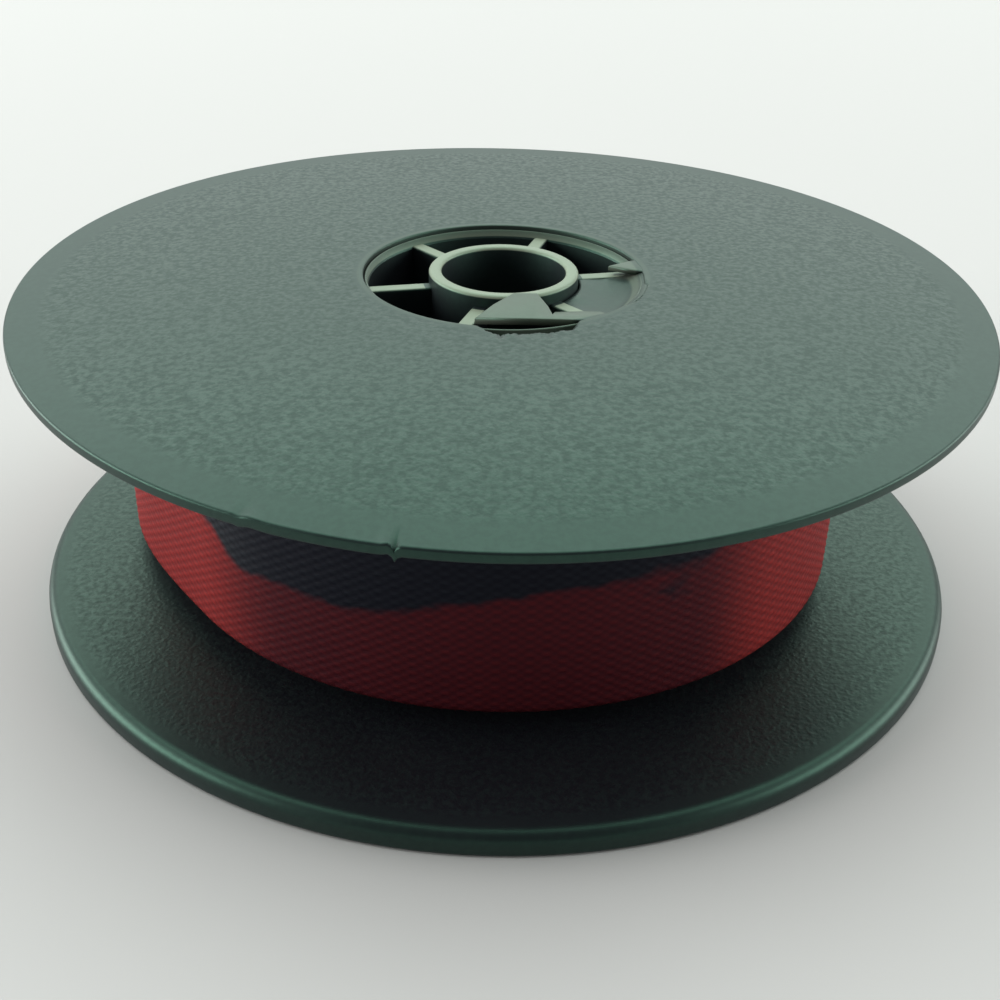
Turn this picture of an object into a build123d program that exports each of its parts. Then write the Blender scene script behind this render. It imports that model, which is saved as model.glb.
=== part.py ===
from build123d import *
import math
import os

# Inked ribbon on a flanged spool, as used in typewriters and adding machines.
# Millimetres. The origin is on the spool's axis, in the plane that the lower flange rests on. +Z is up.

# ---- driving dimensions -------------------------------------------------

# flanges
flange_diameter = 54.0
lower_flange_thickness = 1.4
lower_rim_top_radius = 0.65         # rounding of the lower flange's upper rim edge
lower_rim_bottom_radius = 0.25
upper_flange_thickness = 1.05
upper_flange_dish = 0.92            # the upper flange's rim lies this far below its middle
dish_start_width = 0.4              # level seat outside the drum before the dish begins
rim_thickness = 0.58
rim_edge_radius = 0.15

# ribbon
ribbon_width = 13.0
ribbon_length = 10000.0
ribbon_thickness = 0.102
ribbon_side_clearance = 1.4         # from each selvedge to the flange beside it
ribbon_winding_clearance = 0.02     # between the drum and the innermost turn
loose_turn_bulge = 2.6              # how far the slack outer turn stands off the pack
loose_turn_angle = 170.0            # where it stands off most
loose_turn_spread = 48.0            # half the arc over which it stands off
outline_points = 36                 # points on the closed curve of the outer turn

# drum, spokes and centre tube
drum_outer_diameter = 17.2
drum_wall = 1.0
tube_bore_diameter = 7.0
tube_wall = 0.8
tube_stand_out = 0.15               # the tube's top above the upper flange's face
tube_edge_chamfer = 0.2
spoke_count = 6
spoke_thickness = 0.85
first_spoke_angle = 13.0
spoke_recess = 0.4                  # spokes end this far inside the lower face

# seat of the upper flange on the drum
flange_seat_width = 0.7             # width of the drum's wall that the flange rests on
spigot_height = 0.4
spigot_clearance = 0.1

# tongues of the upper flange, pressed over the core to lock it
tongue_thickness = 0.5
tongue_lift = 0.05                  # above the spokes
tongue_clearance = 0.05             # to the centre tube
tongue_overlap = 0.6                # how far a tongue's root runs into the flange
side_tongue_spokes = (5, 0)         # the pocket that the whole tongue covers, by its two spokes
split_tongue_half_width = 0.75      # at its tip, on the tube
split_tongue_offset = 1.2           # of the tip from the pocket's middle plane
split_tongue_gap = 1.15             # from the opening's edge to the straight broken edge
split_tongue_left = 1.4             # ends of the straight edge, either side of the axis
split_tongue_right = 4.6
split_tongue_strip = 1.6            # width of the strip that still joins it to the flange

# hook for the ribbon's inner end
hook_angle = 100.0
hook_width = 1.0
hook_height = 3.0
hook_reach = 0.6
hook_clearance = 0.05

# reversing eyelets, one near each end of the ribbon
eyelet_outer_diameter = 4.4
eyelet_hole_diameter = 2.6
eyelet_barrel_wall = 0.25
eyelet_plate_thickness = 0.2
eyelet_length = 0.7                 # over both plates
eyelet_clearance = 0.05
inner_eyelet_distance = 38.0        # along the ribbon, from its inner end
outer_eyelet_angle = 165.0

# ---- sizes worked out from them -----------------------------------------

flange_radius = flange_diameter / 2
drum_outer_radius = drum_outer_diameter / 2
drum_inner_radius = drum_outer_radius - drum_wall
bore_radius = tube_bore_diameter / 2
tube_radius = bore_radius + tube_wall

opening_radius = drum_outer_radius - flange_seat_width
split_tongue_root = opening_radius - split_tongue_gap
spigot_radius = opening_radius - spigot_clearance

flange_gap = ribbon_width + 2 * ribbon_side_clearance
seat_height = lower_flange_thickness + flange_gap
spigot_top = seat_height + spigot_height
upper_face = seat_height + upper_flange_thickness
tube_height = upper_face + tube_stand_out

ribbon_bottom = lower_flange_thickness + ribbon_side_clearance
ribbon_middle = ribbon_bottom + ribbon_width / 2
pack_inner_radius = drum_outer_radius + ribbon_winding_clearance
pack_radius = math.sqrt(pack_inner_radius ** 2 + ribbon_length * ribbon_thickness / math.pi)


def turned(outline):
    """Solid of revolution about the spool's axis from a closed outline in radius and height."""
    return revolve(make_face(Plane.XZ * outline), Axis.Z)


def radial_plane(angle, radius, height):
    """Plane that faces outwards from the axis at an angle in degrees."""
    turn = math.radians(angle)
    out = Vector(math.cos(turn), math.sin(turn), 0)
    return Plane(origin=out * radius + Vector(0, 0, height), z_dir=out, x_dir=(0, 0, 1))


def ring(outer, inner, bottom, top):
    height = top - bottom
    whole = Cylinder(outer, height) - Cylinder(inner, 2 * height)
    return Pos(0, 0, bottom + height / 2) * whole


def spoke_angle(index):
    return first_spoke_angle + index * 360 / spoke_count


# ---- spool body: lower flange, drum, spokes and centre tube, one moulding ----

def make_spool_body():
    flange = turned(
        Line((drum_inner_radius, 0), (flange_radius - lower_rim_bottom_radius, 0))
        + RadiusArc((flange_radius - lower_rim_bottom_radius, 0),
                    (flange_radius, lower_rim_bottom_radius), -lower_rim_bottom_radius)
        + Line((flange_radius, lower_rim_bottom_radius),
               (flange_radius, lower_flange_thickness - lower_rim_top_radius))
        + RadiusArc((flange_radius, lower_flange_thickness - lower_rim_top_radius),
                    (flange_radius - lower_rim_top_radius, lower_flange_thickness),
                    -lower_rim_top_radius)
        + Polyline((flange_radius - lower_rim_top_radius, lower_flange_thickness),
                   (drum_inner_radius, lower_flange_thickness), (drum_inner_radius, 0)))
    drum = ring(drum_outer_radius, drum_inner_radius, 0, seat_height)
    spigot = ring(spigot_radius, drum_inner_radius, 0, spigot_top)

    tube = ring(tube_radius, bore_radius, 0, tube_height)
    tube = chamfer(tube.edges().filter_by(GeomType.CIRCLE), tube_edge_chamfer)

    spoke_start = bore_radius + tube_wall / 2
    spoke_end = drum_inner_radius + drum_wall / 4
    spoke_height = spigot_top - spoke_recess
    spoke = Pos((spoke_start + spoke_end) / 2, 0, spoke_recess + spoke_height / 2) * Box(
        spoke_end - spoke_start, spoke_thickness, spoke_height)
    spokes = [Rot(0, 0, spoke_angle(index)) * spoke for index in range(spoke_count)]

    hook = ribbon_hook(0)
    return flange + drum + spigot + tube + spokes + hook


def ribbon_hook(room):
    """Small barb on the drum that the ribbon's inner end is pushed over, with room all round."""
    root = drum_wall / 2
    reach = hook_reach + root + room
    barb = Pos(drum_outer_radius - root + reach / 2, 0, ribbon_middle) * Box(
        reach, hook_width + 2 * room, hook_height + 2 * room)
    return Rot(0, 0, hook_angle) * barb


# ---- upper flange with its locking tongues ------------------------------

def make_upper_flange():
    rim_top = upper_face - upper_flange_dish
    rim_bottom = rim_top - rim_thickness
    rim_inside = flange_radius - rim_edge_radius
    dish_start = drum_outer_radius + dish_start_width
    dish_width = rim_inside - dish_start
    top_slope = 2 * upper_flange_dish / dish_width
    bottom_slope = 2 * (seat_height - rim_bottom) / dish_width
    disc = turned(
        Polyline((dish_start, upper_face), (opening_radius, upper_face),
                 (opening_radius, seat_height), (dish_start, seat_height))
        + Spline((dish_start, seat_height), (rim_inside, rim_bottom),
                 tangents=((1, 0), (1, -bottom_slope)))
        + ThreePointArc((rim_inside, rim_bottom),
                        (flange_radius - rim_edge_radius / 4, rim_bottom + rim_edge_radius / 3),
                        (flange_radius, rim_bottom + rim_edge_radius))
        + Line((flange_radius, rim_bottom + rim_edge_radius), (flange_radius, rim_top - rim_edge_radius))
        + ThreePointArc((flange_radius, rim_top - rim_edge_radius),
                        (flange_radius - rim_edge_radius / 4, rim_top - rim_edge_radius / 3),
                        (rim_inside, rim_top))
        + Spline((rim_inside, rim_top), (dish_start, upper_face),
                 tangents=((-1, top_slope), (-1, 0))))
    tongue_bottom = spigot_top + tongue_lift
    tongue_inner = tube_radius + tongue_clearance
    root_radius = opening_radius + tongue_overlap

    first, last = (spoke_angle(index) for index in side_tongue_spokes)
    side_tongue = sector(root_radius, first - 360, last, tongue_bottom)

    tip = -math.sqrt(tube_radius ** 2 - split_tongue_offset ** 2)
    strip = -split_tongue_root + split_tongue_strip
    split_tongue = Pos(0, 0, tongue_bottom) * extrude(make_face(Polyline(
        (split_tongue_offset - split_tongue_half_width, tip),
        (-split_tongue_left, -split_tongue_root),
        (split_tongue_right, -split_tongue_root),
        (split_tongue_right + split_tongue_strip, strip),
        (split_tongue_offset + 2 * split_tongue_half_width, strip),
        (split_tongue_offset + split_tongue_half_width, tip),
        close=True)), tongue_thickness)

    clear_of_tube = Pos(0, 0, upper_face / 2) * Cylinder(tongue_inner, 2 * upper_face)
    return disc + (side_tongue + split_tongue - clear_of_tube)


def sector(radius, start, end, bottom):
    """Flat sector about the axis, from one angle to another in degrees, as thick as a tongue."""
    first = (radius * math.cos(math.radians(start)), radius * math.sin(math.radians(start)))
    last = (radius * math.cos(math.radians(end)), radius * math.sin(math.radians(end)))
    outline = Line((0, 0), first) + RadiusArc(first, last, -radius) + Line(last, (0, 0))
    return Pos(0, 0, bottom) * extrude(make_face(outline), tongue_thickness)


# ---- ribbon --------------------------------------------------------------

def outer_turn_radius(angle):
    """Radius of the outermost turn: the pack's, with a slack stretch that stands off it."""
    away = abs((angle - loose_turn_angle + 180) % 360 - 180)
    if away >= loose_turn_spread:
        return pack_radius
    return pack_radius + loose_turn_bulge * (1 + math.cos(math.pi * away / loose_turn_spread)) / 2


def make_ribbon():
    outline = []
    for index in range(outline_points):
        angle = index * 360 / outline_points
        radius = outer_turn_radius(angle)
        outline.append((radius * math.cos(math.radians(angle)), radius * math.sin(math.radians(angle))))
    pack = Pos(0, 0, ribbon_bottom) * extrude(make_face(Spline(*outline, periodic=True)), ribbon_width)
    core = Pos(0, 0, ribbon_middle) * Cylinder(pack_inner_radius, 2 * ribbon_width)
    return (pack - core - ribbon_hook(hook_clearance)
            - eyelet_room(*inner_eyelet_place()) - eyelet_room(*outer_eyelet_place()))


# ---- reversing eyelets ---------------------------------------------------

def inner_eyelet_place():
    """Angle and mean radius of the eyelet that is wound in near the drum."""
    radius = pack_inner_radius + eyelet_clearance + eyelet_length / 2 + hook_reach
    return hook_angle + math.degrees(inner_eyelet_distance / pack_inner_radius), radius


def outer_eyelet_place():
    """Angle and mean radius of the eyelet in the outermost turn, its outer plate on the surface."""
    outer_plate = eyelet_length / 2 - eyelet_plate_thickness
    return outer_eyelet_angle, outer_turn_radius(outer_eyelet_angle) - outer_plate


def make_eyelet(angle, radius):
    hole = eyelet_hole_diameter / 2
    barrel = Cylinder(hole + eyelet_barrel_wall, eyelet_length)
    plate = Cylinder(eyelet_outer_diameter / 2, eyelet_plate_thickness)
    plate_place = (eyelet_length - eyelet_plate_thickness) / 2
    body = barrel + Pos(0, 0, plate_place) * plate + Pos(0, 0, -plate_place) * plate
    body = body - Cylinder(hole, 2 * eyelet_length)
    return radial_plane(angle, radius, ribbon_middle) * body


def eyelet_room(angle, radius):
    """Space that an eyelet takes up between the turns."""
    return radial_plane(angle, radius, ribbon_middle) * Cylinder(
        eyelet_outer_diameter / 2 + eyelet_clearance, eyelet_length + 2 * eyelet_clearance)


# ---- write one file for each piece ---------------------------------------

pieces = {
    "spool_body": make_spool_body(),
    "upper_flange": make_upper_flange(),
    "ribbon": make_ribbon(),
    "inner_eyelet": make_eyelet(*inner_eyelet_place()),
    "outer_eyelet": make_eyelet(*outer_eyelet_place()),
}

os.makedirs("parts", exist_ok=True)
for name, piece in pieces.items():
    export_step(piece, f"parts/{name}.step")
    print(name, "solids", len(piece.solids()), "volume", round(piece.volume, 2))
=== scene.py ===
import math

import bmesh
import bpy
from mathutils import Matrix, Vector, noise


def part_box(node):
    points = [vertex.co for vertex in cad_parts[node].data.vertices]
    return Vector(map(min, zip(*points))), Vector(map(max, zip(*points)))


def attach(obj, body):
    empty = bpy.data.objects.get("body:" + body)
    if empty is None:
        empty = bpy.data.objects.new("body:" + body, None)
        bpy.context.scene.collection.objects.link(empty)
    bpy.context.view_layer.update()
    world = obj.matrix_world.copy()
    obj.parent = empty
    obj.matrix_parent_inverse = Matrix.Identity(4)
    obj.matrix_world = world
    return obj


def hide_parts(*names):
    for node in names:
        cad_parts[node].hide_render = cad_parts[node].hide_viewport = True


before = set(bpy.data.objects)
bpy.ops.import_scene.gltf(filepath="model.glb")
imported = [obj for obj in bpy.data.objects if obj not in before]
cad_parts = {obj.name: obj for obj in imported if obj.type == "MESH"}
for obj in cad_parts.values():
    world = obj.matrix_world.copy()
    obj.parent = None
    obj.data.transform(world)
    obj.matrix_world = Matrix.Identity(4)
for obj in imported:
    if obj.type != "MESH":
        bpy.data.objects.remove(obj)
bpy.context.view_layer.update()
mm = 0.001

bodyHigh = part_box("spool_body")[1]
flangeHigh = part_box("upper_flange")[1]
ribbonLow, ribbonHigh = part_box("ribbon")
print("frame loaded:", ", ".join(sorted(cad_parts)))


# small helpers

def linear(code):
    channels = [int(code[i:i + 2], 16) / 255 for i in (1, 3, 5)]
    return [c / 12.92 if c <= 0.04045 else ((c + 0.055) / 1.055) ** 2.4 for c in channels] + [1.0]


def addNode(tree, kind, settings=None, links=None):
    node = tree.nodes.new(kind)
    for name, value in (settings or {}).items():
        if isinstance(name, str) and hasattr(node, name):
            setattr(node, name, value)
        else:
            node.inputs[name].default_value = value
    for name, source in (links or {}).items():
        tree.links.new(source, node.inputs[name])
    return node


def newMaterial(name):
    material = bpy.data.materials.new(name)
    material.use_nodes = True
    tree = material.node_tree
    tree.nodes.clear()
    return material, tree


def finishMaterial(tree, shader):
    addNode(tree, "ShaderNodeOutputMaterial", None, {"Surface": shader.outputs[0]})


def newPiece(name, mesh, material, replaces):
    piece = bpy.data.objects.new(name, mesh)
    bpy.context.scene.collection.objects.link(piece)
    piece.data.materials.append(material)
    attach(piece, "root")
    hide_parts(*replaces)
    return piece


def meshFrom(bm, name):
    mesh = bpy.data.meshes.new(name)
    bm.to_mesh(mesh)
    bm.free()
    return mesh


def smoothStep(low, high, value):
    t = min(max((value - low) / (high - low), 0.0), 1.0)
    return t * t * (3 - 2 * t)


def angleFrom(a, b):
    return (a - b + 180) % 360 - 180


# camera

camera = {
    "distance": 81.06 * mm,      # from the middle between the two rims
    "elevation": 26.93,          # of the camera, seen from that middle
    "pitch": 30.25,              # how far it looks down
    "roll": 1.419,
    "lens": 48.6,
    "sensor": 36,
    "shift": 0.002,
    "rimMiddle": 8.75 * mm,
}


def makeCamera(c):
    data = bpy.data.cameras.new("camera")
    data.lens = c["lens"]
    data.sensor_width = c["sensor"]
    data.shift_x = c["shift"]
    data.clip_start = 0.005
    lens = bpy.data.objects.new("camera", data)
    bpy.context.scene.collection.objects.link(lens)
    rise = math.radians(c["elevation"])
    place = Vector((0, -c["distance"] * math.cos(rise), c["rimMiddle"] + c["distance"] * math.sin(rise)))
    lens.matrix_world = (
        Matrix.Translation(place)
        @ Matrix.Rotation(math.radians(90 - c["pitch"]), 4, "X")
        @ Matrix.Rotation(math.radians(c["roll"]), 4, "Z")
    )
    bpy.context.scene.camera = lens


makeCamera(camera)


# floor and lights

stage = {
    "floorSize": 6.0,
    "floorColour": "#bcbcba",
    "worldColour": "#dfe6e3",
    "worldStrength": 0.12,
    "aim": (0, 0, 0.01),
    "lights": [
        # name, place, width, height, watts, colour
        ("overheadPanel", (0.0, 0.30, 0.75), 1.5, 1.1, 13.0, "#f6fbf9"),
        ("backPanel", (0.0, 0.75, 0.33), 1.5, 0.55, 3.4, "#f1faf6"),
        ("leftPanel", (-0.60, 0.02, 0.16), 0.7, 0.28, 5.2, "#ffffff"),
        ("rightPanel", (0.60, 0.02, 0.16), 0.7, 0.28, 3.2, "#ffffff"),
    ],
}


def makeStage(s):
    material, tree = newMaterial("paleFloorPaper")
    shader = addNode(tree, "ShaderNodeBsdfPrincipled",
                     {"Base Color": linear(s["floorColour"]), "Roughness": 0.9, "Specular IOR Level": 0.1})
    finishMaterial(tree, shader)
    bm = bmesh.new()
    bmesh.ops.create_grid(bm, x_segments=1, y_segments=1, size=s["floorSize"] / 2)
    floor = bpy.data.objects.new("floor", meshFrom(bm, "floor"))
    floor.data.materials.append(material)
    bpy.context.scene.collection.objects.link(floor)

    world = bpy.data.worlds.new("studio")
    bpy.context.scene.world = world
    world.use_nodes = True
    background = world.node_tree.nodes["Background"]
    background.inputs["Color"].default_value = linear(s["worldColour"])
    background.inputs["Strength"].default_value = s["worldStrength"]

    for name, place, width, height, watts, colour in s["lights"]:
        data = bpy.data.lights.new(name, "AREA")
        data.shape = "RECTANGLE"
        data.size, data.size_y = width, height
        data.energy = watts
        data.color = linear(colour)[:3]
        lamp = bpy.data.objects.new(name, data)
        lamp.location = place
        lamp.rotation_euler = (Vector(s["aim"]) - Vector(place)).to_track_quat("-Z", "Y").to_euler()
        bpy.context.scene.collection.objects.link(lamp)
    bpy.context.scene.view_settings.view_transform = "Standard"


makeStage(stage)
print("camera, floor and lights made")


# black polystyrene of the two mouldings

plastic = {
    "colour": "#15121a",
    "pale": "#1c1a20",
    "sheen": "#a8ffd8",
    "grain": 0.24 * mm,          # spark-eroded pebbles
    "grainDepth": 0.009 * mm,
    "roughness": 0.42,
    "unevenRoughness": 0.07,
    "dullSpecular": 0.40,
    "brightSpecular": 0.45,
    "patchScale": 250.0,
    "paintedHighlight": "#7d8574",         # painted highlight: paler colour on the hub's top faces, where light falls on them
    "paintedHighlightAboveSpokes": 17.62 * mm,  # painted highlight above these heights
    "paintedHighlightAboveTube": 18.22 * mm,
    "tubeRadius": 4.45 * mm,
    "spokeRadius": 7.55 * mm,
    "spigotHighlightShare": 0.25,          # share of the painted highlight on the ring outside the spokes
    "hubRadius": 8.2 * mm,
}


def blackPolystyrene(name, smoothOutside, smoothInside, paintedLightAmount):
    # Moulded polystyrene: near black, satin, a greenish cast in its reflections, with pebbles
    # from the spark-eroded mould that speckle them
    material, tree = newMaterial(name)
    place = addNode(tree, "ShaderNodeTexCoord").outputs["Object"]
    flat = addNode(tree, "ShaderNodeVectorMath", {"operation": "MULTIPLY", 1: (1, 1, 0)}, {0: place})
    length = addNode(tree, "ShaderNodeVectorMath", {"operation": "LENGTH"}, {0: flat.outputs[0]})
    radius = length.outputs["Value"]
    outer = addNode(tree, "ShaderNodeMapRange",
                    {1: smoothOutside - 0.5 * mm, 2: smoothOutside + 0.2 * mm, 3: 1.0, 4: 0.0}, {0: radius})
    inner = addNode(tree, "ShaderNodeMapRange",
                    {1: smoothInside, 2: smoothInside + 0.3 * mm, 3: 0.0, 4: 1.0}, {0: radius})
    grained = addNode(tree, "ShaderNodeMath", {"operation": "MULTIPLY"},
                      {0: outer.outputs[0], 1: inner.outputs[0]}).outputs[0]
    pebbles = addNode(tree, "ShaderNodeTexVoronoi",
                      {"feature": "SMOOTH_F1", "Scale": 1 / plastic["grain"], "Smoothness": 0.5,
                       "Randomness": 1.0}, {"Vector": place})
    uneven = addNode(tree, "ShaderNodeTexNoise",
                     {"Scale": 0.7 / plastic["grain"], "Detail": 2.0, "Roughness": 0.6}, {"Vector": place})
    domes = addNode(tree, "ShaderNodeMath", {"operation": "MULTIPLY_ADD", 1: -0.6},
                    {0: pebbles.outputs["Distance"], 2: uneven.outputs[0]})
    height = addNode(tree, "ShaderNodeMath", {"operation": "MULTIPLY"},
                     {0: domes.outputs[0], 1: grained})
    bump = addNode(tree, "ShaderNodeBump", {"Strength": 1.0, "Distance": 2 * plastic["grainDepth"]},
                   {"Height": height.outputs[0]})
    patches = addNode(tree, "ShaderNodeTexNoise", {"Scale": plastic["patchScale"], "Detail": 2.0},
                      {"Vector": place})
    colour = addNode(tree, "ShaderNodeMix",
                     {"data_type": "RGBA", 6: linear(plastic["colour"]), 7: linear(plastic["pale"])},
                     {0: patches.outputs[0]})
    level = addNode(tree, "ShaderNodeSeparateXYZ", None, {0: place}).outputs["Z"]
    # painted highlight: the tops of the tube, spokes and spigot turn paler above set heights
    paintedHighlightLevel = addNode(tree, "ShaderNodeMapRange",
                        {1: plastic["tubeRadius"], 2: plastic["tubeRadius"] + 0.1 * mm,
                         3: plastic["paintedHighlightAboveTube"], 4: plastic["paintedHighlightAboveSpokes"]}, {0: radius})
    above = addNode(tree, "ShaderNodeMath", {"operation": "SUBTRACT"}, {0: level, 1: paintedHighlightLevel.outputs[0]})
    paintedHighlight = addNode(tree, "ShaderNodeMapRange", {2: 0.06 * mm, 4: paintedLightAmount}, {0: above.outputs[0]})
    hubOnly = addNode(tree, "ShaderNodeMapRange",
                      {1: plastic["spokeRadius"], 2: plastic["spokeRadius"] + 0.15 * mm,
                       3: 1.0, 4: plastic["spigotHighlightShare"]}, {0: radius})
    central = addNode(tree, "ShaderNodeMapRange",
                      {1: plastic["hubRadius"], 2: plastic["hubRadius"] + 0.1 * mm, 3: 1.0, 4: 0.0},
                      {0: radius})
    hubShare = addNode(tree, "ShaderNodeMath", {"operation": "MULTIPLY"},
                       {0: hubOnly.outputs[0], 1: central.outputs[0]})
    pale = addNode(tree, "ShaderNodeMath", {"operation": "MULTIPLY"},
                   {0: paintedHighlight.outputs[0], 1: hubShare.outputs[0]})
    withPaintedHighlight = addNode(tree, "ShaderNodeMix", {"data_type": "RGBA", 7: linear(plastic["paintedHighlight"])},
                    {0: pale.outputs[0], 6: colour.outputs[2]})
    pits = addNode(tree, "ShaderNodeMapRange",
                   {1: 0.38, 2: 0.62, 3: plastic["unevenRoughness"], 4: -plastic["unevenRoughness"]},
                   {0: uneven.outputs[0]})
    mottle = addNode(tree, "ShaderNodeMath", {"operation": "MULTIPLY_ADD", 2: plastic["roughness"]},
                     {0: pits.outputs[0], 1: grained})
    shine = addNode(tree, "ShaderNodeMapRange",
                    {1: 0.38, 2: 0.62, 3: plastic["dullSpecular"], 4: plastic["brightSpecular"]},
                    {0: uneven.outputs[0]})
    shader = addNode(tree, "ShaderNodeBsdfPrincipled",
                     {"IOR": 1.59, "Specular Tint": linear(plastic["sheen"])},
                     {"Base Color": withPaintedHighlight.outputs[2], "Roughness": mottle.outputs[0],
                      "Specular IOR Level": shine.outputs[0], "Normal": bump.outputs[0]})
    finishMaterial(tree, shader)
    return material


# the last argument is how strong the painted highlight on the hub tops is
upperPlastic = blackPolystyrene("mouldedPolystyreneUpper", 25.2 * mm, 8.3 * mm, 0.3)
bodyPlastic = blackPolystyrene("mouldedPolystyreneBody", 26.0 * mm, 8.7 * mm, 1.0)


# spool body: lower flange, drum, spokes and centre tube

body = {
    "rimRadius": bodyHigh.x,
    "thickness": 1.4 * mm,
    "rimTopRound": 0.65 * mm,
    "rimBottomRound": 0.25 * mm,
    "drumRadius": 8.6 * mm,
    "pocketRadius": 7.6 * mm,
    "drumFoot": 0.4 * mm,        # fillet where the drum meets the flange
    "seat": 17.2 * mm,
    "spigotRadius": 7.84 * mm,
    "spigotTop": 18.02 * mm,
    "spigotInside": 17.6 * mm,   # its worn top slopes down to here on the inside
    "spokeTop": 17.68 * mm,
    "edge": 0.08 * mm,
    "boreRadius": 3.5 * mm,
    "tubeRadius": 4.22 * mm,
    "tubeTop": bodyHigh.z,
    "tubeEdge": 0.2 * mm,
    "spokes": 6,
    "firstSpoke": 13.0,
    "spokeThickness": 0.85 * mm,
    "spokeBottom": 0.4 * mm,
    "spokeEdge": 0.12 * mm,
    "spokeOverlap": 0.3 * mm,    # how far a spoke runs into the drum's wall
    "steps": 360,
}


def spun(bm, outline, steps):
    # closed outline of (radius, height) turned once round the axis
    points = [bm.verts.new((r, 0, z)) for r, z in outline]
    edges = [bm.edges.new((a, b)) for a, b in zip(points, points[1:] + points[:1])]
    bmesh.ops.spin(bm, geom=points + edges, cent=(0, 0, 0), axis=(0, 0, 1), angle=2 * math.pi,
                   steps=steps, use_merge=True, use_duplicate=False)


def corner(centre, radius, start, end, steps):
    # points round a corner, angles in degrees from outwards to upwards
    out = []
    for i in range(steps + 1):
        turn = math.radians(start + (end - start) * i / steps)
        out.append((centre[0] + radius * math.cos(turn), centre[1] + radius * math.sin(turn)))
    return out


def straight(a, b, steps):
    # points after a, up to and including b
    return [(a[0] + (b[0] - a[0]) * i / steps, a[1] + (b[1] - a[1]) * i / steps)
            for i in range(1, steps + 1)]


def tidyShell(bm):
    bmesh.ops.remove_doubles(bm, verts=bm.verts, dist=0.001 * mm)
    bmesh.ops.recalc_face_normals(bm, faces=bm.faces)
    for face in bm.faces:
        face.smooth = True


def makeSpoolBody(b):
    bm = bmesh.new()
    rim, thick, edge = b["rimRadius"], b["thickness"], b["edge"]
    outline = [(b["pocketRadius"] + edge, 0)]
    outline += straight(outline[-1], (rim - b["rimBottomRound"], 0), 8)
    outline += corner((rim - b["rimBottomRound"], b["rimBottomRound"]), b["rimBottomRound"], -90, 0, 5)[1:]
    outline += corner((rim - b["rimTopRound"], thick - b["rimTopRound"]), b["rimTopRound"], 0, 90, 9)
    foot = b["drumRadius"] + b["drumFoot"]
    outline += straight(outline[-1], (foot, thick), 10)
    outline += corner((foot, thick + b["drumFoot"]), b["drumFoot"], 270, 180, 5)[1:]
    outline += [(b["drumRadius"], b["seat"]), (b["spigotRadius"], b["seat"])]
    outline += corner((b["spigotRadius"] - edge, b["spigotTop"] - edge), edge, 0, 120, 4)
    outline += corner((b["pocketRadius"] + edge, b["spigotInside"] - edge), edge, 120, 180, 3)
    outline += corner((b["pocketRadius"] + edge, edge), edge, 180, 270, 3)[:-1]
    spun(bm, outline, b["steps"])

    bore, tube, top, edge = b["boreRadius"], b["tubeRadius"], b["tubeTop"], b["tubeEdge"]
    outline = corner((tube - edge, top - edge), edge, 0, 90, 5)
    outline += corner((bore + edge, top - edge), edge, 90, 180, 5)
    outline += corner((bore + edge, edge), edge, 180, 270, 5)
    outline += corner((tube - edge, edge), edge, 270, 360, 5)
    spun(bm, outline, b["steps"] // 2)
    tidyShell(bm)

    inner = (bore + tube) / 2
    outer = b["pocketRadius"] + b["spokeOverlap"]
    height = b["spokeTop"] - b["spokeBottom"]
    for i in range(b["spokes"]):
        place = (
            Matrix.Rotation(math.radians(b["firstSpoke"] + i * 360 / b["spokes"]), 4, "Z")
            @ Matrix.Translation(((inner + outer) / 2, 0, b["spokeBottom"] + height / 2))
            @ Matrix.Diagonal((outer - inner, b["spokeThickness"], height, 1))
        )
        spoke = bmesh.ops.create_cube(bm, size=1, matrix=place)["verts"]
        edges = {e for v in spoke for e in v.link_edges}
        longEdges = [e for e in edges if abs(e.verts[0].co.z - e.verts[1].co.z) < edge
                     and e.calc_length() > 2 * b["spokeThickness"]]
        bmesh.ops.bevel(bm, geom=longEdges, offset=b["spokeEdge"], affect="EDGES", segments=3,
                        profile=0.5, material=-1)
    return meshFrom(bm, "spool_body")


newPiece("spoolBody", makeSpoolBody(body), bodyPlastic, ["spool_body"])
print("spool body made")


# upper flange with the tongues that lock it

flange = {
    "rimRadius": flangeHigh.x,
    "face": flangeHigh.z,
    "seat": body["seat"],
    "dish": 0.92 * mm,           # the rim hangs this far below the middle
    "dishStart": 9.0 * mm,
    "rimThickness": 0.58 * mm,
    "rimEdge": 0.14 * mm,
    "opening": 7.9 * mm,
    "openingEdge": 0.1 * mm,
    "steps": 720,
    # warp that the thin disc has taken: lean to the front, lean to the side and twist, at the rim
    "lean": 0.54 * mm,
    "sideLean": -0.05 * mm,
    "twist": 0.18 * mm,
    # burrs and dents on the rim: angle, width and depth in mm
    "nicks": [(-98.75, 0.10, 0.28), (-99.3, 0.2, -0.08), (-113.3, 0.15, 0.10), (-112.2, 0.5, -0.05)],
    "burrAngle": -98.75,
    "burrReach": 2.5,            # degrees either side in which the vertices crowd towards the burr
    # where the hot tool pulled the face down round the opening: from, to, reach, depth, raggedness
    "pulls": [(-101, -58, 0.95, 0.95, 0.16), (-38, -3, 0.28, 0.30, 0.10)],
    "pullFade": 9,               # degrees over which a pull dies away at its ends
}


def warpAt(x, y, f):
    # how far the warped disc stands above the true one
    radius = math.hypot(x, y)
    share = max(0.0, radius - f["dishStart"]) / (f["rimRadius"] - f["dishStart"])
    angle = math.atan2(y, x)
    warp = f["lean"] * math.sin(angle) + f["sideLean"] * math.cos(angle) + f["twist"] * math.cos(2 * angle)
    return warp * share ** 2


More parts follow.
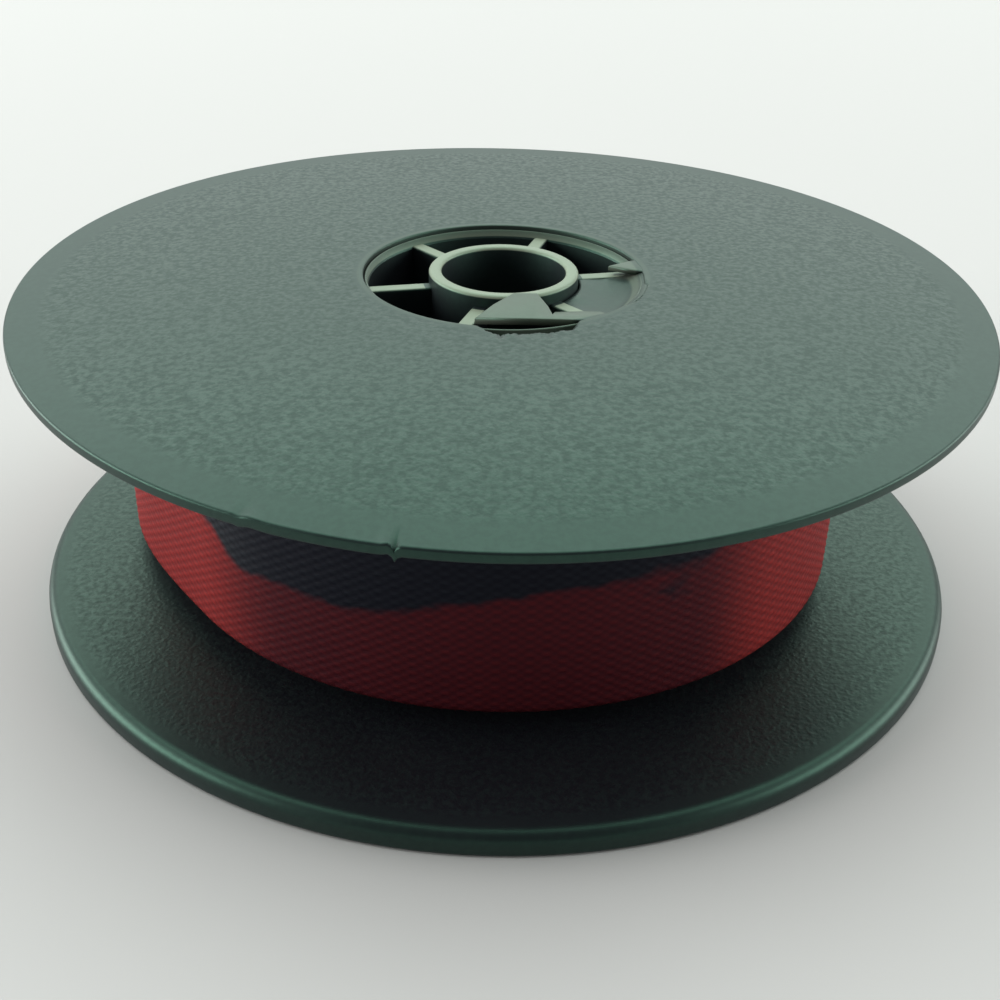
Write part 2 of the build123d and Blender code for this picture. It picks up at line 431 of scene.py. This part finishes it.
def makeFlangeRing(bm, f):
    face, rim, edge, start = f["face"], f["rimRadius"], f["rimEdge"], f["dishStart"]
    rimTop = face - f["dish"]
    rimLow = rimTop - f["rimThickness"]

    def dished(level, drop, steps):
        out = []
        for i in range(1, steps + 1):
            t = i / steps
            out.append((start + (rim - edge - start) * t, level - drop * t ** 2))
        return out

    top = corner((f["opening"] + f["openingEdge"], face - f["openingEdge"]), f["openingEdge"], 180, 90, 4)
    top += straight(top[-1], (start, face), 10)
    top += dished(face, f["dish"], 30)
    edgeTop = corner((rim - edge, rimTop - edge), edge, 80, 0, 5)
    edgeLow = corner((rim - edge, rimLow + edge), edge, 0, -85, 5)
    under = [(start, f["seat"])] + dished(f["seat"], f["seat"] - rimLow, 24)
    outline = top + edgeTop + edgeLow + under[::-1][1:]
    outline += straight((start, f["seat"]), (f["opening"], f["seat"]), 5)
    outline += straight((f["opening"], f["seat"]), (f["opening"], face - f["openingEdge"]), 4)[:-1]
    spun(bm, outline, f["steps"])
    bmesh.ops.remove_doubles(bm, verts=bm.verts, dist=0.001 * mm)
    bmesh.ops.recalc_face_normals(bm, faces=bm.faces)

    fade = f["pullFade"]
    for v in bm.verts:
        angle = math.degrees(math.atan2(v.co.y, v.co.x))
        radius = math.hypot(v.co.x, v.co.y)
        near = angleFrom(angle, f["burrAngle"])
        if abs(near) < f["burrReach"]:
            share = smoothStep(rim - 4 * mm, rim - 1 * mm, radius)
            angle += near * (abs(near) / f["burrReach"] - 1) * share
            v.co.x = radius * math.cos(math.radians(angle))
            v.co.y = radius * math.sin(math.radians(angle))
        v.co.z += warpAt(v.co.x, v.co.y, f)
        if radius > rim - 1.0 * mm:
            for place, width, depth in f["nicks"]:
                away = math.radians(angleFrom(angle, place)) * rim / (width * mm)
                strength = math.exp(-away ** 2) * smoothStep(rim - 0.5 * mm, rim, radius)
                v.co.z -= strength * depth * mm
        elif radius < f["opening"] + 1.6 * mm and v.co.z > f["seat"] + 0.1 * mm:
            for start, end, reach, depth, rough in f["pulls"]:
                ends = smoothStep(start, start + fade, angle) * (1 - smoothStep(end - fade, end, angle))
                if ends <= 0:
                    continue
                ragged = rough * noise.noise(v.co * 2600) + rough * noise.noise(v.co * 6500)
                border = (reach * ends + ragged * ends) * mm
                inside = (f["opening"] + border - radius) / max(border, 0.01 * mm)
                if inside > 0:
                    v.co.z -= depth * mm * ends * min(inside, 1.0) ** 0.8


tongues = {
    "side": {"start": -49.0, "end": 14.0, "inner": 4.32 * mm, "outer": 8.15 * mm, "thickness": 0.42 * mm,
             "columns": 44, "rows": 26},
    "split": {
        # outline of the split tongue, in mm, and how high it lies above the flange's face
        "outline": [(0.55, -3.85, 0.26), (-0.55, -5.2, 0.10), (-1.45, -6.68, -0.06), (1.5, -6.72, -0.02),
                    (4.5, -6.62, -0.06), (5.9, -5.75, -0.10), (5.2, -5.0, -0.22), (4.3, -4.75, -0.34),
                    (2.75, -5.05, -0.30), (2.62, -5.75, -0.10), (2.42, -5.0, 0.02), (1.85, -3.8, 0.26)],
        "thickness": 0.38 * mm,
    },
    "tab": {"outline": [(6.0, 1.5, -0.05), (8.2, 0.55, -0.02), (8.2, 2.9, -0.02)], "thickness": 0.3 * mm},
    "plateEdge": 0.07 * mm,
}


def sideTongueHeight(angle, t):
    # t runs from the opening's edge to the tube; it dips between the spokes
    across = (angle + 18) / 30
    fall = smoothStep(0.0, 0.30, t)
    dish = max(0.0, 1 - across ** 2) * math.sin(math.pi * min(t * 1.05, 1)) * 0.20
    ripple = 0.05 * noise.noise(Vector((angle * 0.06, t * 3, 0.5)))
    return (-0.05 - 0.50 * fall - dish - 0.08 * t + ripple) * mm


def makeSideTongue(bm, f, t):
    columns, rows = t["columns"], t["rows"]
    grid = []
    for i in range(columns + 1):
        angle = t["start"] + (t["end"] - t["start"]) * i / columns
        line = []
        for j in range(rows + 1):
            share = j / rows
            radius = t["outer"] + (t["inner"] - t["outer"]) * share
            z = f["face"] + sideTongueHeight(angle, share)
            turn = math.radians(angle)
            line.append(bm.verts.new((radius * math.cos(turn), radius * math.sin(turn), z)))
        grid.append(line)
    faces = []
    for a, b in zip(grid, grid[1:]):
        for j in range(rows):
            faces.append(bm.faces.new((a[j], b[j], b[j + 1], a[j + 1])))
    bmesh.ops.recalc_face_normals(bm, faces=faces)
    thickPlate(bm, faces, t["thickness"])


def thickPlate(bm, faces, thickness):
    # gives an open plate its wall, downwards
    made = bmesh.ops.extrude_face_region(bm, geom=faces)["geom"]
    for v in made:
        if isinstance(v, bmesh.types.BMVert):
            v.co.z -= thickness
    shell = set(faces) | {g for g in made if isinstance(g, bmesh.types.BMFace)}
    for f in list(shell):
        for e in f.edges:
            shell.update(e.link_faces)
    bmesh.ops.recalc_face_normals(bm, faces=list(shell))


def makePlate(bm, f, p):
    # flat plate from an outline with heights, its edges rounded
    verts = [bm.verts.new((x * mm, y * mm, f["face"] + z * mm)) for x, y, z in p["outline"]]
    face = bm.faces.new(verts)
    if face.normal.z < 0:
        face.normal_flip()
    made = bmesh.ops.extrude_face_region(bm, geom=[face])["geom"]
    low = [v for v in made if isinstance(v, bmesh.types.BMVert)]
    for v in low:
        v.co.z -= p["thickness"]
    shell = {fc for v in verts + low for fc in v.link_faces}
    bmesh.ops.recalc_face_normals(bm, faces=list(shell))
    border = [e for e in bm.edges if e.is_valid and e.verts[0] in verts and e.verts[1] in verts]
    bmesh.ops.bevel(bm, geom=border, offset=tongues["plateEdge"], affect="EDGES", segments=3,
                    profile=0.5, material=-1)


def makeUpperFlange(f):
    bm = bmesh.new()
    makeFlangeRing(bm, f)
    makeSideTongue(bm, f, tongues["side"])
    makePlate(bm, f, tongues["split"])
    makePlate(bm, f, tongues["tab"])
    for face in bm.faces:
        face.smooth = True
    return meshFrom(bm, "upper_flange")


newPiece("upperFlange", makeUpperFlange(flange), upperPlastic, ["upper_flange"])
print("upper flange made")


# ribbon: one strip wound round the drum

ribbon = {
    "width": ribbonHigh.z - ribbonLow.z,
    "length": 10.0,
    "bottom": ribbonLow.z,
    "thickness": 0.085 * mm,
    "innerRadius": 8.68 * mm,
    "packRadius": 19.83 * mm,
    "pitch": 0.102 * mm,         # from one turn to the next
    "stepsPerTurn": 60,
    "float": 0.81 * mm,          # length of one weave repeat along the strip
    "rows": 52,                  # half repeats of the weave across the width
    "relief": 0.022 * mm,
    "rib": 0.010 * mm,
    "tooth": 0.05 * mm,
    "freeEnd": 25.0,
    "slack": 2.6 * mm,
    "slackAngle": 170.0,
    "slackSpread": 48.0,
    "tailLift": 0.45 * mm,       # the free end springs out this far
    "innerBorder": 6.5,          # border between the inks on the buried turns, in mm
    # height in mm of the border between the two inks, by the angle round the spool
    "border": [(-180, 11.2), (-165, 10.6), (-152, 8.9), (-140.4, 6.9), (-136.6, 6.35), (-134.1, 5.6),
               (-131.4, 4.95), (-125.4, 5.15), (-119, 5.2), (-114, 5.05), (-108.8, 5.1), (-103.7, 5.5),
               (-98, 6.05), (-92.4, 6.45), (-87.9, 6.75), (-83.8, 7.0), (-75.8, 7.2), (-65.9, 7.45),
               (-59, 7.6), (-52, 8.6), (-44, 10.2), (-34, 11.8), (0, 11.0), (60, 8.0), (120, 6.8),
               (180, 11.2)],
    # painted shade darkening the ribbon's front: angles where it starts, is full, fades and ends, and its
    # most
    "paintedFrontShade": (-142, -122, -60, -44, 0.72),
    # angle, half its spread, height, half its height, strength
    "smudge": (-64, 10, 6.0, 2.0, 0.97),
}


def slackOf(angle, r):
    away = abs(angleFrom(angle, r["slackAngle"]))
    if away >= r["slackSpread"]:
        return 0.0
    return r["slack"] * (1 + math.cos(math.pi * away / r["slackSpread"])) / 2


def borderAt(angle, r):
    angle = angleFrom(angle, 0)
    for (a, low), (b, high) in zip(r["border"], r["border"][1:]):
        if a <= angle <= b:
            return low + (high - low) * (angle - a) / (b - a)
    return r["border"][0][1]


def paintedShadeAt(angle, r):
    # how much painted shade darkens the ribbon there
    start, full, fading, end, most = r["paintedFrontShade"]
    angle = angleFrom(angle, 0)
    return most * smoothStep(start, full, angle) * (1 - smoothStep(fading, end, angle))


def makeRibbon(r):
    bm = bmesh.new()
    uv = bm.loops.layers.uv.new("strip")
    inkLayer = bm.verts.layers.float.new("ink")
    paintedShadeLayer = bm.verts.layers.float.new("paintedFrontShade")
    along = {}

    def addColumn(angle, radius, travelled, heights, phase=None):
        turn = math.radians(angle)
        out = Vector((math.cos(turn), math.sin(turn), 0))
        column = []
        for j, h in enumerate(heights):
            lift, shift, border = 0.0, 0.0, r["innerBorder"]
            if phase is not None:
                lift = (-1) ** j * (r["relief"] * math.cos(phase) + r["rib"])
                border = borderAt(angle, r)
                if j in (0, len(heights) - 1):
                    shift = r["tooth"] * math.cos(phase)
            v = bm.verts.new(out * (radius + lift) + Vector((0, 0, r["bottom"] + h + shift)))
            v[inkLayer] = h / mm - border
            # painted shade on the ribbon's front, stored per vertex
            v[paintedShadeLayer] = paintedShadeAt(angle, r)
            if phase is not None:
                place, spread, level, tall, strength = r["smudge"]
                away = angleFrom(angle, place) / spread
                up = (h / mm - level) / tall
                v[inkLayer] *= 1 - strength * math.exp(-away ** 2 - up ** 2)
            along[v] = (travelled, h)
            column.append(v)
        return column

    def join(a, b):
        if len(a) == len(b):
            for j in range(len(a) - 1):
                bm.faces.new((a[j], b[j], b[j + 1], a[j + 1]))
        else:
            bm.faces.new(list(a) + list(reversed(b)))

    # wound turns, clockwise outwards
    turns = (r["packRadius"] - r["innerRadius"]) / r["pitch"]
    steps = int(turns * r["stepsPerTurn"])
    start = r["freeEnd"] + 360 * turns
    travelled = 0.0
    last = None
    for i in range(steps + 1):
        share = i / steps
        angle = start - 360 * turns * share
        radius = r["innerRadius"] + (r["packRadius"] - r["innerRadius"]) * share
        radius += eyeletLift(angle, radius, r)
        column = addColumn(angle, radius, travelled, [0, r["width"]])
        if last:
            join(last, column)
        travelled += math.radians(360 * turns / steps) * radius
        last = column

    # the outermost turn, with its threads
    heights = [r["width"] * j / r["rows"] for j in range(r["rows"] + 1)]
    step = r["float"] / 4
    columns = int(2 * math.pi * r["packRadius"] / step)
    start = r["float"] * math.ceil(travelled / r["float"])
    for i in range(1, columns + 1):
        share = i / columns
        angle = r["freeEnd"] + 360 * (1 - share)
        radius = r["packRadius"] + r["pitch"] * share + slackOf(angle, r)
        radius += r["tailLift"] * smoothStep(0.975, 1.0, share)
        travelled += math.radians(360 / columns) * radius
        column = addColumn(angle, radius, start + i * step, heights, math.pi * i / 2)
        join(last, column)
        last = column

    middle, half = outerEyelet, eyelet["hole"]
    gone = [f for f in bm.faces if (f.calc_center_median() - middle).length < half + 0.1 * mm
            and math.hypot(*f.calc_center_median().xy) > r["packRadius"] + 0.5 * r["pitch"]]
    bmesh.ops.delete(bm, geom=gone, context="FACES")
    for face in bm.faces:
        face.smooth = True
        for loop in face.loops:
            loop[uv].uv = along[loop.vert]
    print("ribbon is", round(travelled, 3), "m long")
    return meshFrom(bm, "ribbon")


# eyelets

eyelet = {
    "hole": 1.3 * mm,
    "outer": 2.2 * mm,
    "length": 0.7 * mm,
    "wall": 0.2 * mm,
    "curl": 0.17 * mm,
    "steps": 64,
    "liftWidth": 3.2 * mm,       # the turns above the buried eyelet bulge by this much, this wide
    "lift": 0.75 * mm,
}


def middleOf(node):
    low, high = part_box(node)
    return (low + high) / 2


outerEyelet = middleOf("outer_eyelet")
innerEyelet = middleOf("inner_eyelet")


def eyeletLift(angle, radius, r):
    # turns over the buried eyelet ride up on it, less and less outwards
    place = math.degrees(math.atan2(innerEyelet.y, innerEyelet.x))
    depth = math.hypot(innerEyelet.x, innerEyelet.y) - eyelet["length"] / 2
    if radius < depth:
        return 0.0
    away = math.radians(angleFrom(angle, place)) * radius / eyelet["liftWidth"]
    if abs(away) > 3:
        return 0.0
    fade = 1 - smoothStep(depth, r["packRadius"] - 1.0 * mm, radius)
    return eyelet["lift"] * math.exp(-away ** 2) * fade


def makeEyelet(name, e, middle):
    bm = bmesh.new()
    half, curl = e["length"] / 2, e["curl"]
    outline = [(e["hole"], -half + curl), (e["hole"], half - curl)]
    outline += corner((e["hole"] + curl, half - curl), curl, 180, 90, 5)[1:]
    outline += corner((e["outer"] - curl, half - curl), curl, 90, -60, 8)
    inside = e["hole"] + e["wall"]
    outline += [(inside + 0.1 * mm, half - e["wall"]), (inside, half - 1.6 * e["wall"])]
    outline += [(inside, -half + 1.6 * e["wall"]), (inside + 0.1 * mm, -half + e["wall"])]
    outline += corner((e["outer"] - curl, -half + curl), curl, 60, -90, 8)
    outline += corner((e["hole"] + curl, -half + curl), curl, 270, 180, 5)[:-1]
    spun(bm, outline, e["steps"])
    tidyShell(bm)
    outward = Vector((middle.x, middle.y, 0)).normalized()
    bm.transform(Matrix.Translation(middle) @ outward.to_track_quat("Z", "X").to_matrix().to_4x4())
    newPiece(name, meshFrom(bm, name), rolledBrass, [name.replace("Eyelet", "_eyelet")])


def brass():
    # Rolled and pressed brass, tumbled: yellow, half bright, with faint clouds of ink and tarnish
    material, tree = newMaterial("tumbledBrass")
    place = addNode(tree, "ShaderNodeTexCoord").outputs["Object"]
    clouds = addNode(tree, "ShaderNodeTexNoise", {"Scale": 900.0, "Detail": 3.0}, {"Vector": place})
    colour = addNode(tree, "ShaderNodeMix",
                     {"data_type": "RGBA", 6: linear("#c9a560"), 7: linear("#8f6f3c")},
                     {0: clouds.outputs[0]})
    gloss = addNode(tree, "ShaderNodeMapRange", {3: 0.25, 4: 0.5}, {0: clouds.outputs[0]})
    shader = addNode(tree, "ShaderNodeBsdfPrincipled", {"Metallic": 1.0},
                     {"Base Color": colour.outputs[2], "Roughness": gloss.outputs[0]})
    finishMaterial(tree, shader)
    return material


inks = {
    "redPaintedLit": "#8a2826",
    "redPaintedShade": "#6a1e1f",
    "blackPaintedLit": "#2c3035",
    "blackPaintedShade": "#1b1c21",
    "paintedShadeColour": "#020312",
    "borderWander": 0.8,         # mm by which the border between the inks wanders
    "fibreScale": (2500, 14000, 1),
    "soakScale": (900, 1500, 1),
    "paintedLightPatchScale": 350.0,
}


def inkedWeave(r):
    # Woven ribbon soaked in oily ink: dull threads, with painted highlight on their crowns and painted
    # shade between them
    material, tree = newMaterial("inkedWovenRibbon")
    strip = addNode(tree, "ShaderNodeUVMap", {"uv_map": "strip"}).outputs[0]
    axes = addNode(tree, "ShaderNodeSeparateXYZ", None, {0: strip})
    waves = []
    for axis, repeat in (("X", r["float"]), ("Y", 2 * r["width"] / r["rows"])):
        turn = addNode(tree, "ShaderNodeMath", {"operation": "MULTIPLY", 1: 2 * math.pi / repeat},
                       {0: axes.outputs[axis]})
        waves.append(addNode(tree, "ShaderNodeMath", {"operation": "COSINE"}, {0: turn.outputs[0]}))
    crowns = addNode(tree, "ShaderNodeMath", {"operation": "MULTIPLY"},
                     {0: waves[0].outputs[0], 1: waves[1].outputs[0]})
    ribbed = addNode(tree, "ShaderNodeMath", {"operation": "MULTIPLY_ADD", 1: 0.3},
                     {0: waves[1].outputs[0], 2: crowns.outputs[0]})
    raised = addNode(tree, "ShaderNodeMapRange", {1: -1.2, 2: 1.2}, {0: ribbed.outputs[0]})
    fibres = addNode(tree, "ShaderNodeMapping", {"Scale": inks["fibreScale"]}, {0: strip})
    fuzz = addNode(tree, "ShaderNodeTexNoise", {"Scale": 1.0, "Detail": 2.0}, {"Vector": fibres.outputs[0]})
    height = addNode(tree, "ShaderNodeMath", {"operation": "MULTIPLY_ADD", 1: 0.5},
                     {0: fuzz.outputs[0], 2: raised.outputs[0]})
    bump = addNode(tree, "ShaderNodeBump", {"Strength": 0.7, "Distance": 0.05 * mm},
                   {"Height": height.outputs[0]})

    ink = addNode(tree, "ShaderNodeAttribute", {"attribute_name": "ink"}).outputs["Fac"]
    soak = addNode(tree, "ShaderNodeMapping", {"Scale": inks["soakScale"]}, {0: strip})
    wander = addNode(tree, "ShaderNodeTexNoise", {"Scale": 1.0, "Detail": 4.0}, {"Vector": soak.outputs[0]})
    edge = addNode(tree, "ShaderNodeMath",
                   {"operation": "MULTIPLY_ADD", 1: inks["borderWander"], 2: -inks["borderWander"] / 2},
                   {0: wander.outputs[0]})
    shifted = addNode(tree, "ShaderNodeMath", {"operation": "ADD"}, {0: ink, 1: edge.outputs[0]})
    share = addNode(tree, "ShaderNodeMapRange", {"interpolation_type": "SMOOTHSTEP", 1: -0.3, 2: 0.25},
                    {0: shifted.outputs[0]})
    top = addNode(tree, "ShaderNodeMix",
                  {"data_type": "RGBA", 6: linear(inks["redPaintedLit"]), 7: linear(inks["blackPaintedLit"])},
                  {0: share.outputs[0]})
    deep = addNode(tree, "ShaderNodeMix",
                   {"data_type": "RGBA", 6: linear(inks["redPaintedShade"]), 7: linear(inks["blackPaintedShade"])},
                   {0: share.outputs[0]})
    # painted shade: the ribbon's front is darkened towards a near-black colour
    paintedFrontShade = addNode(tree, "ShaderNodeAttribute", {"attribute_name": "paintedFrontShade"}).outputs["Fac"]
    topInk = addNode(tree, "ShaderNodeMix", {"data_type": "RGBA", 7: linear(inks["paintedShadeColour"])},
                     {0: paintedFrontShade, 6: top.outputs[2]})
    deepInk = addNode(tree, "ShaderNodeMix", {"data_type": "RGBA", 7: linear(inks["paintedShadeColour"])},
                      {0: paintedFrontShade, 6: deep.outputs[2]})
    place = addNode(tree, "ShaderNodeTexCoord").outputs["Object"]
    paintedLightPatches = addNode(tree, "ShaderNodeTexNoise",
                   {"Scale": inks["paintedLightPatchScale"], "Detail": 5.0, "Roughness": 0.65}, {"Vector": place})
    paintedLightAmount = addNode(tree, "ShaderNodeMath", {"operation": "MULTIPLY_ADD", 1: 0.5, 2: -0.25},
                   {0: paintedLightPatches.outputs[0]})
    # painted highlight on the thread crowns and painted shade in the hollows, with noise patches shifting
    # the share
    lift = addNode(tree, "ShaderNodeMapRange", {1: 0.2, 2: 0.95}, {0: raised.outputs[0]})
    lit = addNode(tree, "ShaderNodeMath", {"operation": "ADD", "use_clamp": True},
                  {0: lift.outputs[0], 1: paintedLightAmount.outputs[0]})
    colour = addNode(tree, "ShaderNodeMix", {"data_type": "RGBA"},
                     {0: lit.outputs[0], 6: deepInk.outputs[2], 7: topInk.outputs[2]})
    shader = addNode(tree, "ShaderNodeBsdfPrincipled",
                     {"IOR": 1.47, "Specular IOR Level": 0.12, "Roughness": 0.62},
                     {"Base Color": colour.outputs[2], "Normal": bump.outputs[0]})
    finishMaterial(tree, shader)
    return material


rolledBrass = brass()
makeEyelet("outerEyelet", eyelet, outerEyelet)
makeEyelet("innerEyelet", eyelet, innerEyelet)

strip = newPiece("ribbonStrip", makeRibbon(ribbon), inkedWeave(ribbon), ["ribbon"])
wall = strip.modifiers.new("thickness", "SOLIDIFY")
wall.thickness = ribbon["thickness"]
wall.offset = 0
print("ribbon and eyelets made")
